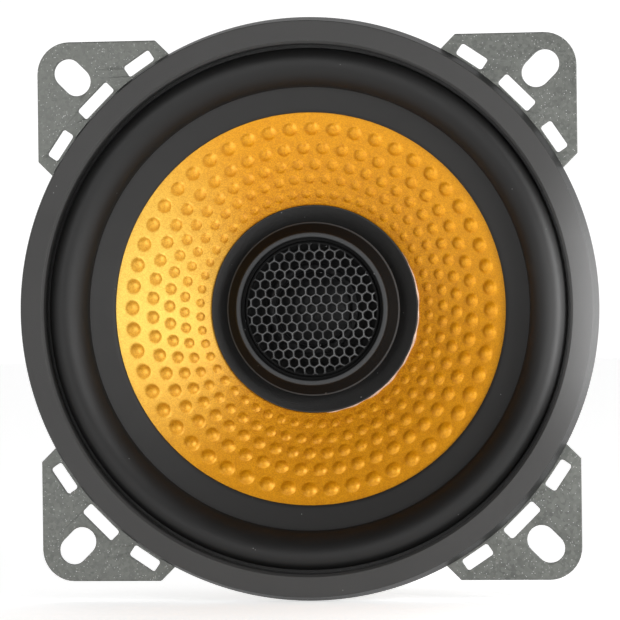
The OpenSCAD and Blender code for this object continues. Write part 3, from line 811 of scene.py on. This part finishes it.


# ---- Roll ---------------------------------------------------------------------------------------
# Moulded black rubber: a land clamped under the front ring, a half roll, and a land glued to the
# cone. It is satin, with a faint bloom, and a few grains of dust lie on it.
def black_rubber():
    """Satin black rubber: soft grey bloom in patches, a very fine grain, sparse pale dust, and a
    painted haze of light towards the right edge.
    """
    finish = Finish("black_rubber", roughness=0.5, Specular_IOR_Level=0.38)
    place = finish.place()
    bloom = finish.noise(place, 6.0, 4.0, 0.55)
    grain = finish.noise(place, 0.12, 3.0, 0.6)
    dust = finish.specks(place, 3.1, 0.11)
    ring = finish.radius(place)
    land = finish.between(ring, 38.0, 38.9, 1.0, 0.0)
    tone = finish.blend(bloom * 0.7 + grain * 0.3, grey(0.0035, 0.02), grey(0.0075, 0.02))
    landed = finish.blend(land, tone, finish.blend(grain, grey(0.010, 0.03), grey(0.017, 0.03)))
    # Painted haze of light: the rubber is paler towards the right edge.
    hazed = finish.blend(finish.painted_right_haze(place), landed, grey(0.20))
    finish.drive(Base_Color=finish.blend(dust * 0.5, hazed, grey(0.35)),
        Roughness=0.44 + 0.12 * bloom + 0.08 * land)
    finish.relief(grain, 0.02)
    return finish.material


roll_r = 41.95
roll_half = 3.35
roll_wall = 0.5
roll_arc = np.radians(np.linspace(0, 180, 49))
roll_rise = 3.5 * np.sin(roll_arc) - np.cos(roll_arc)
roll_top = np.stack([roll_r - roll_half * np.cos(roll_arc), 0.5 + roll_rise], 1)
roll_under = np.stack([roll_r - (roll_half - roll_wall) * np.cos(roll_arc), 0.02 + roll_rise], 1)
land_r = np.linspace(34.42, 38.4, 8)
land_top = np.stack([land_r, -2.08 + (land_r - 34.3) * 0.368], 1)
roll = turned("roll_rubber", np.concatenate([
    [(34.3, -2.58), (34.3, -2.2)], land_top, roll_top,
    [(45.9, 1.5), (49.4, 1.5), (49.6, 1.3), (49.6, 1.02)], roll_under[::-1],
    [(cone_r, -1.05)]]), black_rubber(), 288, even=False)
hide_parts("surround")
flex(roll)


# ---- Front ring ---------------------------------------------------------------------------------
# A moulded charcoal ring that clamps the roll to the flange. Its face is flat and finely grained;
# its outer side leans outwards and is smoother and darker.
def charcoal_moulding():
    """Charcoal plastic: a fine even grain on the face, slight clouding, dust caught on it, and a
    painted haze of light towards the right edge.
    """
    finish = Finish("charcoal_moulding", roughness=0.55, Specular_IOR_Level=0.5)
    place = finish.place()
    grain = finish.noise(place, 0.16, 4.0, 0.7)
    cloud = finish.noise(place, 11.0, 3.0)
    dust = finish.specks(place, 4.3, 0.12)
    face = finish.between(finish.radius(place), 49.75, 49.95, 1.0, 0.0)
    tone = finish.blend(face, grey(0.012), finish.blend(grain * 0.5 + cloud * 0.5, grey(0.022, 0.02),
        grey(0.038, 0.03)))
    # Painted haze of light: the ring is paler towards the right edge.
    hazed = finish.blend(finish.painted_right_haze(place), tone, grey(0.20))
    finish.drive(Base_Color=finish.blend(dust * 0.5, hazed, grey(0.4)), Roughness=0.46 + 0.16 * grain)
    finish.relief(grain, 0.035)
    return finish.material


rim = turned("front_ring_moulded", rounded([
    (45.9, 1.55, 0), (49.7, 1.55, 0), (49.7, 1.02, 0), (50.7, 1.02, 0.05), (49.85, 4.7, 0.18),
    (46.35, 4.7, 0.15), (45.9, 4.2, 0.25)], 0.05, 5), charcoal_moulding(), 320)
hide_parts("trim_ring")
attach(rim, "chassis")


# ---- Tweeter pod --------------------------------------------------------------------------------
# A black moulded housing on the post: a shoulder, a sloping collar up to a round lip, and a groove
# inside the lip in which the grille sits. The face plate and the film dome are under the grille.
def pod_moulding():
    """Satin black moulding, with a painted highlight that makes it a little greyer along the lip and the
    shoulder's edge.
    """
    finish = Finish("pod_moulding", roughness=0.6, Specular_IOR_Level=0.10)
    place = finish.place()
    grain = finish.noise(place, 0.25, 4.0, 0.65)
    ring = finish.radius(place)
    lip = finish.between(ring, 12.55, 12.8) * finish.between(ring, 13.3, 13.5, 1.0, 0.0)
    edge = finish.between(ring, 15.0, 15.12)
    # Painted highlight: greyer along the lip and along the shoulder's edge.
    painted_rim_highlight = finish.between(lip * 0.9 + edge * 0.8, 0.0, 1.0)
    black = finish.blend(painted_rim_highlight, finish.blend(grain, grey(0.002), grey(0.006)), grey(0.060, -0.02))
    finish.drive(Base_Color=finish.blend(finish.specks(place, 2.6, 0.11) * 0.5, black, grey(0.4)),
        Roughness=0.55 + 0.14 * grain)
    finish.relief(grain, 0.03)
    return finish.material


pod_black = pod_moulding()
pod = turned("tweeter_housing_moulded", rounded([
    (3.2, -14.4), (11, -14.4, 0.5), (11, -8.2, 0.4), (15.2, -7.95, 0.05), (15.3, -7.8, 0.05),
    (15.3, -7.35, 0.1), (15.05, -7.15, 0.1), (13.7, -5.7, 0.5), (13.3, -5.0, 0.25), (12.5, -5.0, 0.22),
    (12.5, -6.2, 0.05), (12.0, -6.2, 0.05), (12.0, -7.4, 0.05), (9.0, -7.4, 0.1), (9.0, -14.0, 0.1),
    (3.2, -14.0)], 0.1, 5), pod_black, 224)
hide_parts("tweeter_housing")
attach(pod, "chassis")
coat(pod_black, "tweeter_face_plate")


def dome_film():
    """Thin amber film, smoky and smooth, faintly rippled; its colour is painted near black as shade
    under the grille.
    """
    finish = Finish("dome_film", roughness=0.55, Specular_IOR_Level=0.2)
    place = finish.place()
    ripple = finish.noise(place, 2.0, 2.0)
    # Painted shade: the film is near black, as it lies in shade under the grille.
    finish.drive(Base_Color=finish.blend(ripple, (0.004, 0.004, 0.004, 1), (0.010, 0.010, 0.011, 1)),
        Roughness=0.45 + 0.2 * ripple)
    finish.relief(ripple, 0.05)
    return finish.material


coat(dome_film(), "tweeter_dome", "tweeter_suspension")


# ---- Grille -------------------------------------------------------------------------------------
# Pressed steel mesh painted dark grey: a shallow dome of six-sided holes whose webs are rounded by
# the paint, turned down at its edge into a rolled rim.
def mesh_paint():
    """Dark satin paint, with a painted highlight on the crests of the webs and painted shade, near
    black, on their flanks.
    """
    finish = Finish("mesh_paint", roughness=0.4, metallic=0.2, Specular_IOR_Level=0.35)
    place = finish.place()
    cloud = finish.noise(place, 2.6, 3.0)
    grain = finish.noise(place, 0.12, 3.0)
    crest = finish.node("ShaderNodeAttribute", {"attribute_name": "crest"}, {}, "Fac")
    tone = finish.blend(finish.between(cloud, 0.35, 0.65), grey(0.065, -0.01), grey(0.13, -0.01))
    # Painted highlight on the web crests; the flanks are painted near black as shade.
    finish.drive(Base_Color=finish.blend(crest, grey(0.004), tone), Roughness=0.32 + 0.2 * grain)
    finish.relief(grain, 0.015)
    return finish.material


mesh_pitch = 1.79
mesh_hole = 1.38
grille_r = 11.8
mesh_turn = 2.0
web_depth = 0.42
mesh_top = -4.62
mesh_r = grille_r - 0.12
dome_fall = 0.85
edge_r = 10.9
edge_fall = 0.55


def mesh_cells():
    """Centres of the mesh's holes: rows sqrt(3)/2 of a pitch apart, each stepped half a pitch."""
    row, column = np.mgrid[-9:10, -9:10]
    across = mesh_pitch * (column + (row % 2) / 2)
    up = mesh_pitch * math.sqrt(3) / 2 * row
    centres = np.stack([across.ravel(), up.ravel()], 1)
    return centres[np.hypot(centres[:, 0], centres[:, 1]) < grille_r + 0.4]


def grille_mesh():
    """Each cell is a band from its six-sided border to its hole. The web's section is half an ellipse;
    its height falls with the square of the distance from the axis, and steeply near the edge."""
    sides = 24
    turn = np.linspace(0, 2 * math.pi, sides, endpoint=False)
    hexagon = 1 / np.cos((turn + math.pi / 6) % (math.pi / 3) - math.pi / 6)
    border = mesh_pitch / 2 * hexagon
    hole = mesh_hole / 2 * hexagon ** 0.12
    share = np.array([0, 0.3, 0.6, 0.85, 1.0, 1.0, 0.0])
    drop = np.array([*(0.2 * (1 - np.sqrt(1 - share[:5] ** 2))), web_depth, web_depth])
    # Share of the painted highlight at each level, from the web's crest down into the hole.
    crest = np.array([1.0, 0.5, 0.1, 0.0, 0.0, 0.0, 0.0])
    out = border[None] + (hole - border)[None] * share[:, None]
    ring = np.stack([out * np.cos(turn), out * np.sin(turn)], -1)
    centres = turned_outline(mesh_cells(), mesh_turn)
    ring = turned_outline(ring.reshape(-1, 2), mesh_turn).reshape(1, len(share), sides, 2)
    flat = centres[:, None, None, :] + ring
    r = np.hypot(flat[..., 0], flat[..., 1])
    pull = np.minimum(1, mesh_r / np.maximum(r, 1e-6))
    flat = flat * pull[..., None]
    r = np.minimum(r, mesh_r)
    fall = np.clip((r - edge_r) / 0.9, 0, 1) ** 2
    height = mesh_top - dome_fall * (r / grille_r) ** 2 - edge_fall * fall - drop[None, :, None]
    cells, levels = len(centres), len(share)
    index = np.arange(cells * levels * sides).reshape(cells, levels, sides)
    on = np.roll(index, -1, 2)
    quads = np.stack([index[:, :-1], on[:, :-1], on[:, 1:], index[:, 1:]], -1).reshape(-1, 4)
    points = on_speaker(flat[..., 0], flat[..., 1], height)
    mesh = bpy.data.meshes.new("tweeter_grille_mesh")
    mesh.from_pydata(points.reshape(-1, 3).tolist(), [], quads.tolist())
    # The painted highlight is kept on the points and fades where the mesh turns down at its edge, as
    # painted shade.
    paint = mesh.attributes.new("crest", "FLOAT", "POINT")
    lit = np.broadcast_to(crest[None, :, None], index.shape) * (1 - 0.8 * fall)
    paint.data.foreach_set("value", lit.astype(np.float32).ravel())
    face_outwards(mesh, 2e-6)
    mesh.shade_smooth()
    mesh.set_sharp_from_angle(angle=math.radians(60))
    mesh.materials.append(mesh_paint())
    return set_out("tweeter_grille_mesh", mesh)


grille = grille_mesh()
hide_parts("tweeter_grille")
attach(grille, "chassis")
grille_rim = turned("tweeter_grille_rim", rounded([
    (11.35, -6.15), (11.8, -6.15), (11.8, -5.75, 0.15), (11.35, -5.75, 0.15)], 0.1), pod_black, 160)
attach(grille_rim, "chassis")


# ---- Connection panel ---------------------------------------------------------------------------
# A brown phenolic board riveted to the basket's tab, with a wide and a narrow tin-plated blade and
# their eyelets. The capacitor lies across it on a bead of cream adhesive.
def phenolic():
    """Brown phenolic paper board: fine fibres along it, and a semi-gloss face."""
    finish = Finish("phenolic_board", roughness=0.4, Specular_IOR_Level=0.5)
    place = finish.place()
    stretched = finish.node("ShaderNodeVectorMath", {"operation": "MULTIPLY"},
        {0: place, 1: (6.0, 6.0, 0.8)})
    fibre = finish.noise(stretched, 1.0, 4.0, 0.6)
    finish.drive(Base_Color=finish.blend(fibre, (0.17, 0.065, 0.018, 1), (0.33, 0.15, 0.05, 1)),
        Roughness=0.3 + 0.3 * fibre)
    finish.relief(fibre, 0.03)
    return finish.material


def tin_plate():
    """Tin plate: pale soft-shining metal with faint drawing lines and finger stains."""
    finish = Finish("tin_plate", roughness=0.3, metallic=1.0)
    place = finish.place()
    lines = finish.noise(finish.node("ShaderNodeVectorMath", {"operation": "MULTIPLY"},
        {0: place, 1: (0.5, 9.0, 9.0)}), 1.0, 3.0)
    stain = finish.noise(place, 2.5, 4.0)
    finish.drive(Base_Color=finish.blend(stain, grey(0.72, 0.04), grey(0.5, 0.08)),
        Roughness=0.2 + 0.15 * lines + 0.15 * stain)
    finish.relief(lines, 0.01)
    return finish.material


def shrink_sleeve():
    """The capacitor's dark blue sleeve, glossy, with a pale stripe along it."""
    finish = Finish("shrink_sleeve", roughness=0.25, Coat_Weight=0.5, Coat_Roughness=0.15)
    place = finish.place()
    across, depth, _ = finish.parts(place)
    turn = across.join("ARCTAN2", across + 35, depth - 21)
    stripe = finish.between(turn, -1.15, -1.05) * finish.between(turn, -0.65, -0.55, 1.0, 0.0)
    wrinkle = finish.noise(place, 1.4, 3.0)
    base = finish.blend(wrinkle, (0.010, 0.014, 0.035, 1), (0.020, 0.028, 0.060, 1))
    finish.drive(Base_Color=finish.blend(stripe, base, grey(0.45)), Roughness=0.2 + 0.2 * wrinkle)
    finish.relief(wrinkle, 0.04)
    return finish.material


def cream_adhesive():
    """Cream hot-melt, waxy and lumpy."""
    finish = Finish("cream_adhesive", roughness=0.45)
    lump = finish.noise(finish.place(), 1.3, 4.0)
    finish.drive(Base_Color=finish.blend(lump, (0.50, 0.42, 0.27, 1), (0.74, 0.68, 0.52, 1)),
        Roughness=0.35 + 0.25 * lump)
    finish.relief(lump, 0.15)
    return finish.material


coat(phenolic(), "terminal_board")
coat(tin_plate(), "terminal_positive", "terminal_negative", "terminal_rivets", "capacitor_leads")
coat(shrink_sleeve(), "capacitor")
coat(cream_adhesive(), "capacitor_pad")


# ---- Leads --------------------------------------------------------------------------------------
# Two insulated wires run down inside the post, out at its end and over the magnet to the panel.
# Two braided leads run from the panel through the left window to the cone.
def smooth_path(points, steps=8):
    """A curve through the points: on each stretch, the cubic whose slopes are half the chord
    from the point before to the point after."""
    p = np.asarray(points, float)
    q = np.concatenate([p[:1], p, p[-1:]])
    t = np.linspace(0, 1, steps, endpoint=False)[None, :, None]
    a, b, c, d = (q[k:len(q) - 3 + k][:, None] for k in range(4))
    bend, twist = 2 * a - 5 * b + 4 * c - d, 3 * b - a - 3 * c + d
    curve = 0.5 * (2 * b + (c - a) * t + bend * t ** 2 + twist * t ** 3)
    return np.concatenate([curve.reshape(-1, 3), p[-1:]])


def wire(name, points, radius, material, twist=0.0, lobes=0, sides=14):
    """A round section carried along a path, on side vectors that turn as little as they can.
    With lobes, the radius swells with their number and turns with the way along, as a braid does."""
    path = smooth_path(points)
    step = np.gradient(path, axis=0)
    heading = step / np.linalg.norm(step, axis=1)[:, None]
    side = np.empty_like(path)
    side[0] = np.cross(heading[0], (0.3, 1, 0.2))
    side[0] /= np.linalg.norm(side[0])
    for i in range(1, len(path)):
        turned_side = side[i - 1] - heading[i] * (side[i - 1] @ heading[i])
        side[i] = turned_side / np.linalg.norm(turned_side)
    other = np.cross(heading, side)
    way = np.concatenate([[0], np.cumsum(np.linalg.norm(np.diff(path, axis=0), axis=1))])
    turn = np.linspace(0, 2 * math.pi, sides, endpoint=False)[None]
    size = radius * (1 - 0.12 * (lobes > 0) * (1 - np.cos(lobes * turn + twist * way[:, None])) / 2)
    ring = path[:, None] + size[..., None] * (np.cos(turn)[..., None] * side[:, None]
        + np.sin(turn)[..., None] * other[:, None])
    points = np.concatenate([ring.reshape(-1, 3), path[:1], path[-1:]])
    start, end = len(points) - 2, len(points) - 1
    k = np.arange(sides)
    following = np.roll(k, -1)
    last_row = start - sides
    first = np.stack([np.full(sides, start), k, following], -1)
    last = np.stack([np.full(sides, end), last_row + following, last_row + k], -1)
    mesh = bpy.data.meshes.new(name)
    mesh.from_pydata(on_speaker(*points.T).tolist(), [],
        grid_faces(len(path), sides, ring=False).tolist() + first.tolist() + last.tolist())
    face_outwards(mesh)
    mesh.shade_smooth()
    mesh.materials.append(material)
    return set_out(name, mesh)


def insulation(name, dark, light):
    """Soft plastic insulation with a slight shine and faint scuffs."""
    finish = Finish(name, roughness=0.35, Specular_IOR_Level=0.5)
    scuff = finish.noise(finish.place(), 1.1, 4.0)
    finish.drive(Base_Color=finish.blend(scuff, dark, light), Roughness=0.25 + 0.3 * scuff)
    finish.relief(scuff, 0.02)
    return finish.material


def tinned_braid():
    """Tinned copper braid: pale metal with copper showing between its strands."""
    finish = Finish("tinned_braid", roughness=0.35, metallic=1.0)
    place = finish.place()
    strand = finish.noise(place, 0.14, 2.0)
    finish.drive(Base_Color=finish.blend(finish.between(strand, 0.35, 0.65), (0.30, 0.13, 0.05, 1),
        (0.72, 0.56, 0.36, 1)), Roughness=0.25 + 0.25 * strand)
    finish.relief(strand, 0.06)
    return finish.material


def inside_post(side):
    """The stretch from the tweeter's film down through the post, on the side given."""
    return [
        (0, side * 8.5, -8.4), (0, side * 8.5, -11.6), (0, side * 8.35, -12.9), (0, side * 7.4, -13.47),
        (0, side * 3.4, -13.47), (0, side * 1.5, -13.9), (0, side * 1.0, -16), (0, side, -24),
        (0, side, -34), (0, side, -43.5)]


positive_route = inside_post(1) + [
    (-0.7, 0.95, -46.3), (-3.2, 0.5, -47.6), (-8, -1.2, -46.2), (-15, -3.3, -43.2), (-22, -5.3, -41.2),
    (-28.3, -6.9, -40.6), (-32.4, -8.0, -38.4), (-33, -8.5, -34), (-33.2, -8.7, -28), (-34, -8.7, -24),
    (-35, -7.9, -21.6), (-35, -6.95, -21)]
negative_route = inside_post(-1) + [
    (-0.7, -1.2, -46.3), (-3.2, -1.9, -47.6), (-8, -3.2, -46.2), (-15, -5.2, -43.2), (-22, -7, -41.2),
    (-28, -8.7, -40.6), (-31.7, -9.8, -38.4), (-32.4, -10.4, -34), (-32.6, -10.6, -28),
    (-34, -10.3, -22.5), (-36.4, -9.3, -19.2), (-38, -8.4, -18.1), (-39.6, -8, -17.87)]
for name, node_name, route, colours in (
        ("tweeter_wire_positive", "tweeter_lead_positive", positive_route,
            ((0.30, 0.018, 0.012, 1), (0.46, 0.035, 0.025, 1))),
        ("tweeter_wire_negative", "tweeter_lead_negative", negative_route,
            ((0.010, 0.010, 0.011, 1), (0.022, 0.022, 0.024, 1)))):
    piece = wire(name, route, 0.42, insulation(name + "_insulation", *colours))
    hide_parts(node_name)
    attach(piece, "chassis")

braid = tinned_braid()
for side, word in ((1, "positive"), (-1, "negative")):
    route = [
        (-38, side * 8, -13.3), (-37.8, side * 7.9, -11.6), (-36, side * 7.6, -9.9),
        (-33, side * 7.2, -9.4), (-30, side * 6.8, -9.8), (-27.6, side * 6.4, -9.6),
        (-26, side * 6.1, -8.7), (-25.5, side * 6, -7.55)]
    piece = wire("tinsel_braid_" + word, route, 0.45, braid, twist=5.0, lobes=5, sides=20)
    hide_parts("tinsel_lead_" + word)
    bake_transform(piece)
